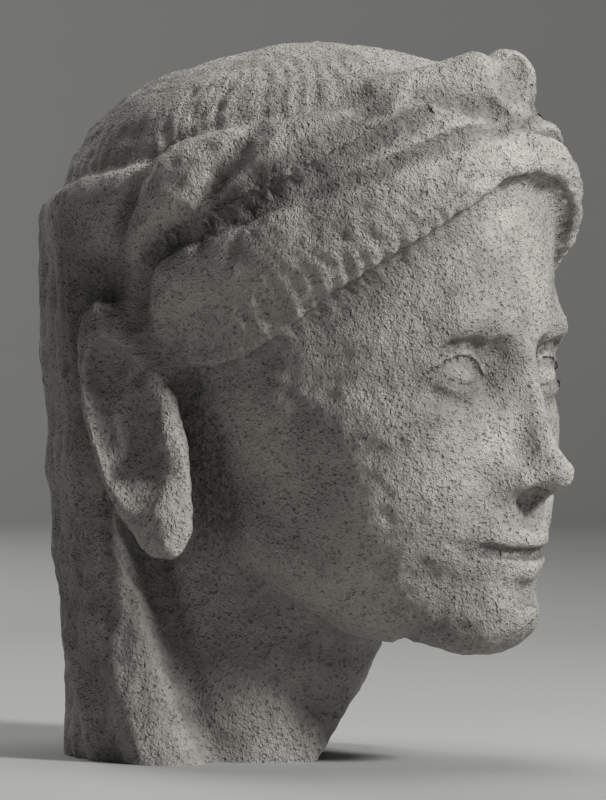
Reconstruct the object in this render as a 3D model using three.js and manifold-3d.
// A life-size head carved from one block of limestone, broken off through the neck.
// It wears a thick roll of hair over the brow, a cloth wound above it and knotted over the forehead,
// and behind the ears the hair hangs in a broad mass down to the break.
// The stone is one solid: a field of smoothly joined forms, turned into a closed mesh and cut flat below.
import * as THREE from "three";
import { mergeVertices } from "three/addons/utils/BufferGeometryUtils.js";
import Module from "manifold-3d";

// Driving sizes, in millimetres. The figure looks along -Y, and the skull's upright axis is at y = 0
// until the whole head is moved so that its resting face is centred on the origin.
const FACE_HEIGHT = 189; // from the chin to the hair roll, three times the nose's length
const CHIN_HEIGHT = 45; // from the resting face to the underside of the chin
const NECK_WIDTH = 106;
const NECK_DEPTH = 104;
const NECK_BACK = 30; // the neck's axis behind the skull's
const NAPE_WIDTH = 144; // the hanging hair at the resting face
const NAPE_DEPTH = 138;
const NAPE_FLARE = 18; // how much wider the hanging hair is at the cloth
const NAPE_BACK = 48; // the hanging hair's axis behind the skull's
const DOME_WIDTH = 170;
const DOME_DEPTH = 218;
const DOME_HEIGHT = 134;
const ROLL_DEPTH = 27; // the hair roll over the brow, from front to back
const ROLL_END_DEPTH = 29; // and at its ends, above the ears
const BAND_DEPTH = 20;
const FOLD_DEPTH = 7; // of the cloth's creases
const EAR_LENGTH = 98;
const EAR_WIDTH = 40;
const CELL = 9.5; // the mesh's largest spacing
const FACE_CELL = 6.5; // and its spacing over the face

// The head's forms below are written at life size, with a face 189 mm high whose chin is 45 mm up.
const CANON_FACE = 189;
const CANON_CHIN = 45;
const SCALE = FACE_HEIGHT / CANON_FACE;

// Heights on the face by the canon of three equal thirds.
const THIRD = CANON_FACE / 3;
const NOSE_BASE = CANON_CHIN + THIRD - 0.5;
const BROW = CANON_CHIN + 2 * THIRD + 0.5;
const EYE_LINE = BROW - 14.5;
const MOUTH_LINE = CANON_CHIN + THIRD * 0.65;
const EYE_APART = 31; // each eye's centre from the middle of the face

const { min, max, abs, sqrt, hypot, cos, sin, atan2, exp, PI } = Math;
const radians = (degrees) => (degrees * PI) / 180;
const clamp = (value, low, high) => max(low, min(high, value));

function ease(from, to, value) {
  const t = clamp((value - from) / (to - from), 0, 1);
  return t * t * (3 - 2 * t);
}

// Two forms joined, or one cut by another, with the corner between them softened over the width given.
function join(a, b, width) {
  const h = max(width - abs(a - b), 0) / width;
  return min(a, b) - (h * h * width) / 4;
}

function cut(a, b, width) {
  return -join(-a, b, width);
}

function hollow([cx, cy, cz], [rx, ry, rz], x, y, z) {
  return exp(-(((x - cx) / rx) ** 2) - ((y - cy) / ry) ** 2 - ((z - cz) / rz) ** 2);
}

function ellipsoid([cx, cy, cz], [rx, ry, rz], x, y, z) {
  const ux = (x - cx) / rx;
  const uy = (y - cy) / ry;
  const uz = (z - cz) / rz;
  const near = sqrt(ux * ux + uy * uy + uz * uz);
  const slope = sqrt((ux / rx) ** 2 + (uy / ry) ** 2 + (uz / rz) ** 2);
  return (near * (near - 1)) / max(slope, 1e-6);
}

// A rod with round ends whose radius runs from one end's to the other's.
function rod([ax, ay, az], [bx, by, bz], startRadius, endRadius, x, y, z) {
  const dx = bx - ax;
  const dy = by - ay;
  const dz = bz - az;
  const along = ((x - ax) * dx + (y - ay) * dy + (z - az) * dz) / (dx * dx + dy * dy + dz * dz);
  const t = clamp(along, 0, 1);
  const away = sqrt((x - ax - t * dx) ** 2 + (y - ay - t * dy) ** 2 + (z - az - t * dz) ** 2);
  return away - startRadius - t * (endRadius - startRadius);
}

// An upright column of oval plan.
function column(centreY, halfWidth, halfDepth, x, y) {
  const v = y - centreY;
  const q = sqrt((x / halfWidth) ** 2 + (v / halfDepth) ** 2);
  return sqrt(x * x + v * v) * (1 - 1 / max(q, 1e-3));
}

// The oval section of a long roll, in its own depth and height, boxier with a power over 2.
function rollSection(depth, height, halfDepth, halfHeight, power = 2) {
  const [u, v] = [abs(depth) / halfDepth, abs(height) / halfHeight];
  const near = max((u ** power + v ** power) ** (1 / power), 1e-3);
  const slope = near ** (1 - power) * hypot(u ** (power - 1) / halfDepth, v ** (power - 1) / halfHeight);
  return (near - 1) / max(slope, 1e-3);
}

// Y and Z in a frame at (cy, cz) that leans back by this angle.
function leaning(cy, cz, degrees, y, z) {
  const c = cos(radians(degrees));
  const s = sin(radians(degrees));
  return [(y - cy) * c + (z - cz) * s, -(y - cy) * s + (z - cz) * c];
}

function skullAndJaw(ax, y, z) {
  let f = ellipsoid([0, 0, 185], [58, 103, 108], max(ax - 14, 0), y, z);
  f = join(f, ellipsoid([0, -34, 122], [51, 66, 74], max(ax - 8, 0), y, z), 22);
  f = join(f, rod([12, -79, 61], [41, -6, 92], 15, 15, ax, y, z), 24);
  f = join(f, ellipsoid([0, -82, 61], [18, 23, 16], ax, y, z), 14);
  f = join(f, ellipsoid([0, -80, 92], [30, 25, 22], ax, y, z), 12);
  f = join(f, ellipsoid([42, -58, 136], [20, 27, 15], ax, y, z), 18);
  return join(f, ellipsoid([31, -58, 108], [22, 29, 27], ax, y, z), 20);
}

function browsAndEyes(f, ax, y, z) {
  const browMiddle = [34, -88, BROW + 5];
  f = join(f, rod([10, -93, BROW], browMiddle, 8.5, 7.5, ax, y, z), 8);
  f = join(f, rod(browMiddle, [51, -60, BROW - 4], 7.5, 5, ax, y, z), 14);
  f = cut(f, ellipsoid([EYE_APART, -107, EYE_LINE], [22, 19, 13], ax, y, z), 13);
  f = cut(f, ellipsoid([EYE_APART / 2, -99, EYE_LINE + 1], [7, 8.5, 10], ax, y, z), 8);
  const across = (ax - EYE_APART) / 16.5;
  const arch = 1 - across * across;
  const rise = z - EYE_LINE - 1.2 * across;
  const outside = max(rise - 6.8 * arch, -4.6 * arch - rise);
  const near = ease(22, 15, abs(ax - EYE_APART)) * ease(-70, -80, y);
  const lid = 2.6 * ease(-0.4, 1.6, outside) * ease(8, 3.5, outside) * near;
  return join(f, ellipsoid([EYE_APART - 0.5, -77, EYE_LINE], [18.5, 15.3, 13.8], ax, y, z) - lid, 3);
}

function nose(f, ax, y, z) {
  let n = rod([0, -96, BROW - 3], [0, -110, NOSE_BASE + 14.5], 6.5, 8.5, ax, y, z);
  n = join(n, ellipsoid([0, -113, NOSE_BASE + 10.5], [9.5, 10.5, 8.5], ax, y, z), 6);
  n = join(n, ellipsoid([12, -102, NOSE_BASE + 7], [6.5, 10, 7], ax, y, z), 8);
  n = join(n, rod([6, -92, EYE_LINE + 3], [12, -96, NOSE_BASE + 14.5], 5, 7, ax, y, z), 8);
  n = cut(n, z - NOSE_BASE + 0.12 * (y + 110), 3);
  return join(f, n, 7);
}

function mouth(f, ax, y, z) {
  f = join(f, rod([4.5, -99.5, MOUTH_LINE + 6.2], [21, -91, MOUTH_LINE + 2], 6.6, 2.6, ax, y, z), 4);
  f = join(f, rod([0, -98, MOUTH_LINE - 6.5], [19, -90.5, MOUTH_LINE - 1], 7.6, 2.6, ax, y, z), 4);
  const line = MOUTH_LINE + 1.8 * (ax / 24) ** 2;
  f += 3.2 * exp(-(((z - line) / 2.2) ** 2)) * ease(27, 21, ax) * ease(-80, -90, y);
  f += 2.4 * hollow([0, -103, MOUTH_LINE - 16.5], [15, 10, 4.5], ax, y, z);
  return f + 1.5 * hollow([26, -92, NOSE_BASE - 3], [6, 12, 13], ax, y, z);
}

function face(x, y, z) {
  const ax = sqrt(x * x + 1);
  let f = skullAndJaw(ax, y, z);
  f = browsAndEyes(f, ax, y, z);
  f = nose(f, ax, y, z);
  return mouth(f, ax, y, z);
}

// The ear is a leaning oval plate with a raised rim that opens towards the cheek.
function ear(x, y, z) {
  const ax = abs(x);
  const half = EAR_WIDTH / SCALE / 2;
  const tall = EAR_LENGTH / SCALE / 2;
  const [v, w] = leaning(34, 134, -19, y, z);
  const ring = sqrt((v / (half - 3)) ** 2 + ((w - 2) / (tall - 6)) ** 2);
  const fromRim = ((ring - 1) * (half + 1)) / max(ring, 0.3);
  const rimOut = 85.5 + 0.03 * w - 7 * ease(0, -18, v);
  const rim = sqrt(fromRim ** 2 + (ax - rimOut) ** 2) - 5 + 9 * ease(-4, -14, v) * ease(10, -6, w);
  let f = join(ellipsoid([76, 0, 0], [11, half, tall], ax, v, w), rim, 7);
  f = join(f, ellipsoid([80, -2, 9 - tall], [8, 11, 12], ax, v, w), 8);
  f = cut(f, ellipsoid([90, -2, -6], [9, half / 2, tall * 0.41], ax, v, w), 5);
  f = cut(f, ellipsoid([90, 2, tall * 0.48], [6, half * 0.4, tall / 4], ax, v, w), 5);
  return join(f, ellipsoid([79, -15, -8], [7, 6, 9], ax, v, w), 6);
}

// The cap of hair on the crown, a little boxier than an ellipsoid and higher in front than behind.
const DOME = { back: 8, up: 228, lean: -3, power: 2.2 };
function dome(x, y, z) {
  const [v, w] = leaning(DOME.back, DOME.up, DOME.lean, y, z);
  const shares = [(2 * x) / DOME_WIDTH, (2 * v) / DOME_DEPTH, (2 * w) / DOME_HEIGHT].map((s) => s * SCALE);
  const q = shares.reduce((sum, s) => sum + abs(s) ** DOME.power, 0) ** (1 / DOME.power);
  return sqrt(x * x + v * v + w * w) * (1 - 1 / max(q, 0.05));
}

// Angles round the head in plan run from 0 in front to 180 behind. The edges of the roll and of the cloth
// above it are heights that fall from the brow to the ear.
const ROLL_END = 105;
const headAngle = (x, y) => (atan2(abs(x) / 84, -(y - 4) / 106) * 180) / PI;
const sweep = (angle) => cos(radians((min(angle, ROLL_END) * 180) / ROLL_END));
const rollFoot = (angle) => BROW + 22.5 + 40 * sweep(angle);
const rollTop = (angle) => BROW + 57.2 + 31.6 * cos(radians(1.5 * min(angle, ROLL_END)));
const clothEdge = (angle) => BROW + 108 - 0.28 * angle - 8 * ease(90, 106, angle);

function hairRoll(x, y, z, inner) {
  const angle = headAngle(x, y);
  const foot = rollFoot(angle);
  const top = rollTop(angle);
  const past = max(angle - ROLL_END + 6, 0) * 1.55;
  const half = (ROLL_DEPTH + (ROLL_END_DEPTH - ROLL_DEPTH) * ease(20, 100, angle)) / SCALE / 2;
  return rollSection(sqrt(inner * inner + past * past), z - (foot + top) / 2, half, (top - foot) / 2 + 1.5);
}

// Each crease runs from one place to another, in degrees round the head and millimetres over the brow.
const CREASES = [
  { from: [12, 92.5], to: [33, 97.5], share: 0.8 },
  { from: [34.5, 91.5], to: [94, 34.5], share: 1 },
  { from: [46, 94], to: [98, 36], share: 0.9 },
  { from: [73, 92], to: [86, 52], share: 0.9 },
  { from: [102, 68], to: [113, 26], share: 0.8 },
];
const CREASE_WIDTH = 5;
const CREASE_END = 6; // degrees in which a crease runs out
const DEGREE = 1.75; // the length of a degree along the cloth

function clothBand(x, y, z, inner) {
  const angle = headAngle(x, y);
  const top = rollTop(angle);
  const edge = clothEdge(angle);
  let crease = 0;
  for (const { from, to, share } of CREASES) {
    const rise = (to[1] - from[1]) / (to[0] - from[0]);
    const away = (z - BROW - from[1] - rise * (angle - from[0])) / hypot(1, rise / DEGREE);
    const ends = ease(from[0] - CREASE_END, from[0], angle) * ease(to[0] + CREASE_END, to[0], angle);
    crease += ((share * FOLD_DEPTH) / SCALE) * ends * exp(-((abs(away) / CREASE_WIDTH) ** 1.4));
  }
  const half = (BAND_DEPTH / SCALE / 2) * (1 - 0.35 * ease(120, 165, angle));
  const section = rollSection(inner, z - (top + edge) / 2, half, (edge - top) / 2 + 2.5, 2.6);
  return section + crease;
}

// The knot over the forehead sits on the dome. Its right loop is whole, its left one is worn down to a
// stump and a ridge, and there is a hollow between them.
const KNOT_SET_BACK = 11; // behind the dome's front
const KNOT_FORWARD = DOME.back - DOME_DEPTH / SCALE / 2 + KNOT_SET_BACK;
function onDome(y) {
  let low = DOME.up;
  let high = DOME.up + DOME_HEIGHT;
  for (let step = 0; step < 24; step += 1) {
    const middle = (low + high) / 2;
    if (dome(0, y, middle) < 0) low = middle;
    else high = middle;
  }
  return low;
}
const KNOT_FOOT = onDome(KNOT_FORWARD);

function knot(f, x, y, z) {
  const [front, foot] = [KNOT_FORWARD, KNOT_FOOT];
  f = join(f, rod([-12, front + 7, foot + 14], [-46, front + 28, foot + 7], 11.5, 6, x, y, z), 10);
  f = join(f, ellipsoid([7, front + 4, foot + 17], [12, 13, 11.5], x, y, z), 7);
  f = join(f, rod([14, front + 1, foot + 11], [46, front + 28, foot + 9], 7, 3, x, y, z), 10);
  return cut(f, ellipsoid([1, front - 10, foot + 16], [5, 7, 8], x, y, z), 4);
}

// The hair and cloth that hang behind the ears, in upright folds under the cloth's edge.
const FOLDS_ROUND = 17;
const WAVE = 41; // from one ripple down the hair to the next
function hangingHair(x, y, z, scaled) {
  const flare = NAPE_FLARE * ease(0, 200 * SCALE, z);
  let f = column(NAPE_BACK, (NAPE_WIDTH + flare) / 2, (NAPE_DEPTH + flare) / 2, x, y);
  const angle = headAngle(scaled.x, scaled.y);
  f -= 1.6 * cos(radians(angle) * FOLDS_ROUND) * ease(96, 112, angle) * ease(60, 120, scaled.z);
  f -= 0.9 * cos((2 * PI * scaled.z) / WAVE) * ease(60, 30, abs(scaled.z - 100));
  f = cut(f, (clothEdge(angle) - scaled.z) * SCALE, 8);
  const front = min(NAPE_BACK - 30 + 0.38 * z, NAPE_BACK + 6 - 40 * ease(100, 185, scaled.z));
  return cut(f, y - front, 10);
}

// Two locks of hair run down each side of the neck. Each has a place and a radius at both ends.
const LOCKS = [
  {
    top: [NAPE_WIDTH / 2 - 10, NAPE_BACK + 26, CHIN_HEIGHT + 35],
    foot: [NAPE_WIDTH / 2 - 8, NAPE_BACK - 16, -5],
    radii: [8, 18],
  },
  {
    top: [NAPE_WIDTH / 2 - 13, NAPE_BACK + 37, CHIN_HEIGHT + 7],
    foot: [NAPE_WIDTH / 2 - 5, NAPE_BACK + 12, -5],
    radii: [6, 8],
  },
];

// What is left of the neck, and the break that slopes up to the chin.
function stump(x, y, z, scaled) {
  const ax = abs(x);
  let f = column(NECK_BACK, NECK_WIDTH / 2, NECK_DEPTH / 2, x, y);
  f = cut(f, (120 - scaled.z) * SCALE, 20);
  let hair = hangingHair(x, y, z, scaled);
  for (const { top, foot, radii } of LOCKS) hair = join(hair, rod(top, foot, ...radii, ax, y, z), 4);
  f = join(f, hair, 6);
  const shear = 0.49 * x - 0.7 * (y - NECK_BACK + 35) - 0.52 * (z - CHIN_HEIGHT + 45);
  return cut(f, -shear, 5);
}

function head(x, y, z) {
  const scaled = { x: x / SCALE, y: y / SCALE, z: (z - CHIN_HEIGHT) / SCALE + CANON_CHIN };
  const inner = join(face(scaled.x, scaled.y, scaled.z), dome(scaled.x, scaled.y, scaled.z), 10);
  let f = join(inner * SCALE, stump(x, y, z, scaled), 9);
  f = join(f / SCALE, clothBand(scaled.x, scaled.y, scaled.z, inner), 4);
  f = join(f, hairRoll(scaled.x, scaled.y, scaled.z, inner), 3);
  f = join(f, ear(scaled.x, scaled.y, scaled.z), 4);
  return knot(f, scaled.x, scaled.y, scaled.z) * SCALE;
}

// Grid planes from low to high, whose spacing changes smoothly with place.
function planes(low, high, spacingAt) {
  const places = [low];
  while (places.at(-1) < high) places.push(places.at(-1) + spacingAt(places.at(-1)));
  return places;
}

// A grid cell's corners are numbered by three bits, for X, Y and Z.
const AXIS_BITS = [4, 2, 1];
const CORNERS = [0, 1, 2, 3, 4, 5, 6, 7].map((n) => AXIS_BITS.map((bit) => (n & bit ? 1 : 0)));
const EDGES = CORNERS.flatMap((_, a) => AXIS_BITS.filter((bit) => !(a & bit)).map((bit) => [a, a | bit]));
const edgeBetween = (a, b) => EDGES.findIndex(([from, to]) => from === min(a, b) && to === max(a, b));
const FACES = AXIS_BITS.flatMap((bit) => {
  const [u, v] = AXIS_BITS.filter((other) => other !== bit);
  return [0, bit].map((side) => {
    const corners = [side, side | u, side | u | v, side | v];
    return { corners, edges: corners.map((corner, n) => edgeBetween(corner, corners[(n + 1) % 4])) };
  });
});

// For each edge of a cell, a number that it shares with the edges crossed by the same sheet of surface.
// Where a face has corners inside only on a diagonal, the sheets keep those corners apart.
function sheetsOf(inside) {
  const sheet = EDGES.map((_, n) => n);
  const link = (a, b) => {
    const [from, to] = [sheet[a], sheet[b]];
    sheet.forEach((number, n) => (sheet[n] = number === from ? to : number));
  };
  for (const { corners, edges } of FACES) {
    const crossed = edges.filter((_, n) => inside[corners[n]] !== inside[corners[(n + 1) % 4]]);
    if (crossed.length === 2) link(crossed[0], crossed[1]);
    if (crossed.length === 4)
      corners.forEach((corner, n) => inside[corner] && link(edges[(n + 3) % 4], edges[n]));
  }
  return sheet;
}

// A point moved onto the zero surface, by no more than a small reach.
const REACH = 1.2;
function settled(field, point) {
  const { x, y, z } = point;
  const value = field(x, y, z);
  const e = 0.5;
  const ahead = [field(x + e, y, z), field(x, y + e, z), field(x, y, z + e)];
  const slope = new THREE.Vector3(...ahead.map((v) => (v - value) / e));
  return point.clone().addScaledVector(slope, clamp(-value / max(slope.lengthSq(), 0.3), -REACH, REACH));
}

// A closed mesh of a field's zero surface: one vertex for each sheet of surface in each grid cell, and
// one square between the four cells round each crossed grid edge.
const INSET = 0.06; // of a cell's width, which a vertex keeps clear of the cell's walls
function meshOf(field, xs, ys, zs) {
  const [nx, ny, nz] = [xs.length, ys.length, zs.length];
  const at = (i, j, k) => (i * ny + j) * nz + k;
  const values = new Float64Array(nx * ny * nz);
  xs.forEach((x, i) => ys.forEach((y, j) => zs.forEach((z, k) => (values[at(i, j, k)] = field(x, y, z)))));
  const positions = [];
  const vertexAt = new Map();
  for (let i = 0; i < nx - 1; i += 1)
    for (let j = 0; j < ny - 1; j += 1)
      for (let k = 0; k < nz - 1; k += 1) {
        const value = CORNERS.map(([a, b, c]) => values[at(i + a, j + b, k + c)]);
        const inside = value.map((v) => v < 0);
        if (inside.every((v) => v === inside[0])) continue;
        const point = CORNERS.map(([a, b, c]) => new THREE.Vector3(xs[i + a], ys[j + b], zs[k + c]));
        const margin = point[7].clone().sub(point[0]).multiplyScalar(INSET);
        const [low, high] = [point[0].clone().add(margin), point[7].clone().sub(margin)];
        const sheet = sheetsOf(inside);
        const crossed = EDGES.map((_, n) => n).filter((n) => inside[EDGES[n][0]] !== inside[EDGES[n][1]]);
        for (const number of new Set(crossed.map((n) => sheet[n]))) {
          const own = crossed.filter((n) => sheet[n] === number);
          const mean = new THREE.Vector3();
          for (const [a, b] of own.map((n) => EDGES[n])) {
            mean.add(point[a].clone().lerp(point[b], value[a] / (value[a] - value[b])));
          }
          const vertex = settled(field, mean.divideScalar(own.length)).clamp(low, high);
          own.forEach((n) => vertexAt.set(at(i, j, k) * EDGES.length + n, positions.length / 3));
          positions.push(...vertex.toArray());
        }
      }
  const index = [];
  for (let i = 1; i < nx - 1; i += 1)
    for (let j = 1; j < ny - 1; j += 1)
      for (let k = 1; k < nz - 1; k += 1)
        for (let axis = 0; axis < 3; axis += 1) {
          const far = CORNERS[AXIS_BITS[axis]];
          const inside = values[at(i, j, k)] < 0;
          if (inside === values[at(i + far[0], j + far[1], k + far[2])] < 0) continue;
          const [u, v] = [AXIS_BITS[(axis + 1) % 3], AXIS_BITS[(axis + 2) % 3]];
          const vertex = (corner) => {
            const [a, b, c] = CORNERS[corner];
            const edge = edgeBetween(corner, corner | AXIS_BITS[axis]);
            return vertexAt.get(at(i - a, j - b, k - c) * EDGES.length + edge);
          };
          const [p, q, r, t] = [vertex(u | v), vertex(v), vertex(0), vertex(u)];
          index.push(...(inside ? [p, q, r, p, r, t] : [p, r, q, p, t, r]));
        }
  return { positions, index };
}

const wasm = await Module();
wasm.setup();

function solidOf(geometry) {
  const bare = new THREE.BufferGeometry().setIndex(geometry.index);
  bare.setAttribute("position", geometry.getAttribute("position"));
  const merged = mergeVertices(bare, 1e-4);
  const triVerts = new Uint32Array(merged.index.array);
  const vertProperties = new Float32Array(merged.attributes.position.array);
  return new wasm.Manifold(new wasm.Mesh({ numProp: 3, vertProperties, triVerts }));
}

function geometryOf(solid) {
  const { vertProperties, triVerts } = solid.getMesh();
  const geometry = new THREE.BufferGeometry().setIndex([...triVerts]);
  geometry.setAttribute("position", new THREE.Float32BufferAttribute(vertProperties, 3));
  geometry.computeVertexNormals();
  return geometry;
}

// The block that cuts the neck flat, below the resting face.
function flatCut(size) {
  const block = new THREE.BoxGeometry(size, size, size);
  block.translate(0, 0, -size / 2);
  return solidOf(block);
}

function stoneGeometry() {
  const halfWidth = max(NAPE_WIDTH / 2 + NAPE_FLARE, DOME_WIDTH / 2 + BAND_DEPTH, 105 * SCALE);
  const front = -max(124 * SCALE, DOME_DEPTH / 2 + ROLL_DEPTH) - 2 * CELL;
  const domeBack = DOME.back * SCALE + DOME_DEPTH / 2 + BAND_DEPTH;
  const back = max(NAPE_BACK + NAPE_DEPTH / 2 + NAPE_FLARE, domeBack) + CELL;
  const top = CHIN_HEIGHT + (DOME.up - CANON_CHIN) * SCALE + DOME_HEIGHT / 2 + 2 * CELL;
  const coarser = (share, most = CELL) => FACE_CELL + (most - FACE_CELL) * share;
  const hairline = CHIN_HEIGHT + FACE_HEIGHT;
  const besideFace = (x) => ease(48 * SCALE, 66 * SCALE, abs(x));
  const behindFace = (y) => ease(-70 * SCALE, -20 * SCALE, y);
  const underFace = (z) => ease(CHIN_HEIGHT, CHIN_HEIGHT - 15, z);
  const overFace = (z) => ease(hairline - 0.3 * FACE_HEIGHT, hairline, z);
  const xs = planes(-halfWidth - CELL, halfWidth + CELL, (x) => coarser(besideFace(x)));
  const ys = planes(front, back, (y) => coarser(behindFace(y), 1.2 * CELL));
  const zs = planes(-3 * CELL, top, (z) => coarser(max(underFace(z), overFace(z))));
  const floored = (x, y, z) => max(head(x, y, z), -1.6 * CELL - z);
  const { positions, index } = meshOf(floored, xs, ys, zs);
  const rough = new THREE.BufferGeometry().setIndex(index);
  rough.setAttribute("position", new THREE.Float32BufferAttribute(positions, 3));
  return geometryOf(solidOf(rough).subtract(flatCut(4 * DOME_DEPTH)));
}

const limestone = new THREE.MeshStandardMaterial({ color: 0xb7b3a8, roughness: 0.95, metalness: 0 });
const stone = new THREE.Mesh(stoneGeometry(), limestone);
stone.name = "limestone_head";
stone.position.y = -NAPE_BACK;

const sculpture = new THREE.Group();
sculpture.add(stone);
export default sculpture;
